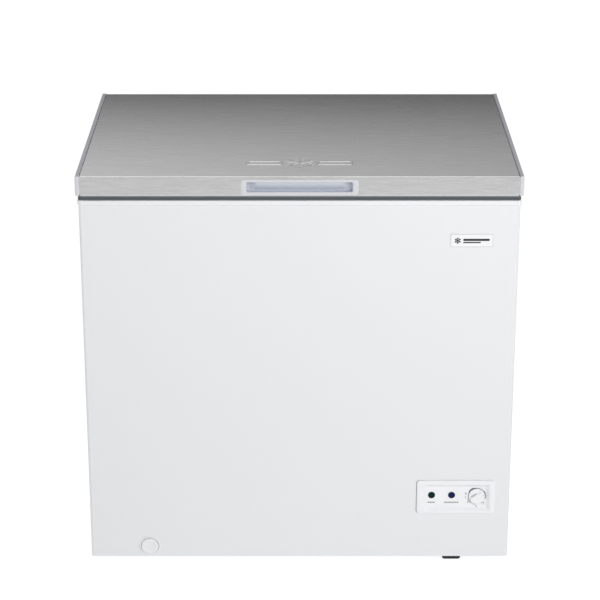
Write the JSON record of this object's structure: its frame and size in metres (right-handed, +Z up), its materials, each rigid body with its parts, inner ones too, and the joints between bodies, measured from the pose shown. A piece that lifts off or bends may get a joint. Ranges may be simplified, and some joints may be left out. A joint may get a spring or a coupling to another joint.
{
  "type": "chest freezer",
  "caption": "White chest freezer with a brushed steel lid on sprung rear hinges, a hanging basket, a front control panel and a front drain.",
  "frame": {"origin": "on the floor under the centre of the whole freezer", "axes": "+X to the freezer's right seen from the front, +Y to its back, +Z up"},
  "size_m": [0.9, 0.66, 0.872],
  "materials": {
    "white_steel": "smooth gloss white enamel",
    "zinc_steel": "zinc plated",
    "foam": "cut polyurethane foam",
    "liner_metal": "stucco embossed, white lacquered",
    "white_plastic": "satin moulded",
    "grey_plastic": "fine grained",
    "tube_steel": "black lacquer",
    "copper": "drawn copper tube",
    "badge_metal": "satin silver",
    "black_plastic": "moulded",
    "hose": "translucent grey hose",
    "rubber": "moulded rubber",
    "seal_rubber": "soft magnetic seal",
    "green_plastic": "dark green lens",
    "blue_plastic": "dark blue lens",
    "board": "circuit board",
    "black_steel": "satin black",
    "bright_steel": "bright zinc",
    "cover_metal": "grey enamel",
    "spring_steel": "oiled spring wire",
    "slider_plastic": "acetal",
    "lid_steel": "brushed left to right",
    "wire": "white coated wire"
  },
  "bodies": {
    "cabinet": {"outer_wrapper": "white_steel", "rear_panel": "white_steel", "base_pan": "zinc_steel", "bay_partition": "zinc_steel", "cabinet_foam": "foam", "inner_liner": "liner_metal", "top_rim": "white_plastic", "condenser_tube": "tube_steel", "evaporator_tube": "copper", "badge_plate": "badge_metal", "front_right_foot": "black_plastic", "front_left_foot": "black_plastic", "rear_right_foot": "black_plastic", "rear_left_foot": "black_plastic", "drain_collar": "white_plastic", "drain_hose": "hose", "control_bezel": "white_plastic", "thermostat": "black_plastic", "sensing_tube": "copper", "green_lens": "green_plastic", "blue_lens": "blue_plastic", "lamp_board": "board", "compressor": "black_steel", "compressor_plate": "zinc_steel", "rubber_grommets": "rubber", "compressor_bolts": "bright_steel", "relay_cover": "black_plastic", "suction_line": "copper", "discharge_line": "copper", "process_tube": "copper", "filter_drier": "copper", "capillary_tube": "copper", "bay_cover": "cover_metal", "bay_cover_screws": "bright_steel", "cord_gland": "rubber", "left_hinge_case": "zinc_steel", "right_hinge_case": "zinc_steel", "hinge_case_screws": "bright_steel", "hinge_pins": "bright_steel", "left_hinge_spring": "spring_steel", "right_hinge_spring": "spring_steel"},
    "lid": {"lid_skin": "lid_steel", "lid_left_trim": "grey_plastic", "lid_right_trim": "grey_plastic", "lid_rear_trim": "grey_plastic", "handle_cup": "grey_plastic", "lid_foam": "foam", "lid_liner": "white_plastic", "lid_gasket": "seal_rubber", "left_hinge_leaf": "zinc_steel", "right_hinge_leaf": "zinc_steel", "hinge_leaf_screws": "bright_steel"},
    "left_slider": {"left_hinge_slider": "slider_plastic"},
    "right_slider": {"right_hinge_slider": "slider_plastic"},
    "knob": {"control_knob": "white_plastic", "thermostat_shaft": "bright_steel"},
    "drain_pull": {"drain_knob": "white_plastic"},
    "floor_plug": {"drain_plug": "rubber"},
    "basket": {"storage_basket": "wire"}
  },
  "joints": [
    {"name": "lid_hinge", "type": "hinge", "parent": "cabinet", "child": "lid", "pos_m": [0, 0.32, 0.8253], "axis": [-1, 0, 0], "range_deg": [0, 75]},
    {"name": "left_slider_push", "type": "slide", "parent": "cabinet", "child": "left_slider", "axis": [0, 0, 1], "range_m": [0, 0.006], "deforming": ["left_hinge_spring"]},
    {"name": "right_slider_push", "type": "slide", "parent": "cabinet", "child": "right_slider", "axis": [0, 0, 1], "range_m": [0, 0.006], "deforming": ["right_hinge_spring"]},
    {"name": "knob_turn", "type": "hinge", "parent": "cabinet", "child": "knob", "pos_m": [0.376, -0.3235, 0.1605], "axis": [0, 1, 0], "range_deg": [-210, 60]},
    {"name": "drain_pull", "type": "slide", "parent": "cabinet", "child": "drain_pull", "axis": [0, -1, 0], "range_m": [0, 0.024]},
    {"name": "floor_plug_lift", "type": "slide", "parent": "cabinet", "child": "floor_plug", "axis": [0, 0, 1], "range_m": [0, 0.05]},
    {"name": "basket_slide", "type": "slide", "parent": "cabinet", "child": "basket", "axis": [-1, 0, 0], "range_m": [0, 0.53]}
  ],
  "couplings": [
    {"joint": "left_slider_push", "follows": "lid_hinge", "m_per_rad": 0.0045837},
    {"joint": "right_slider_push", "follows": "lid_hinge", "m_per_rad": 0.0045837}
  ]
}
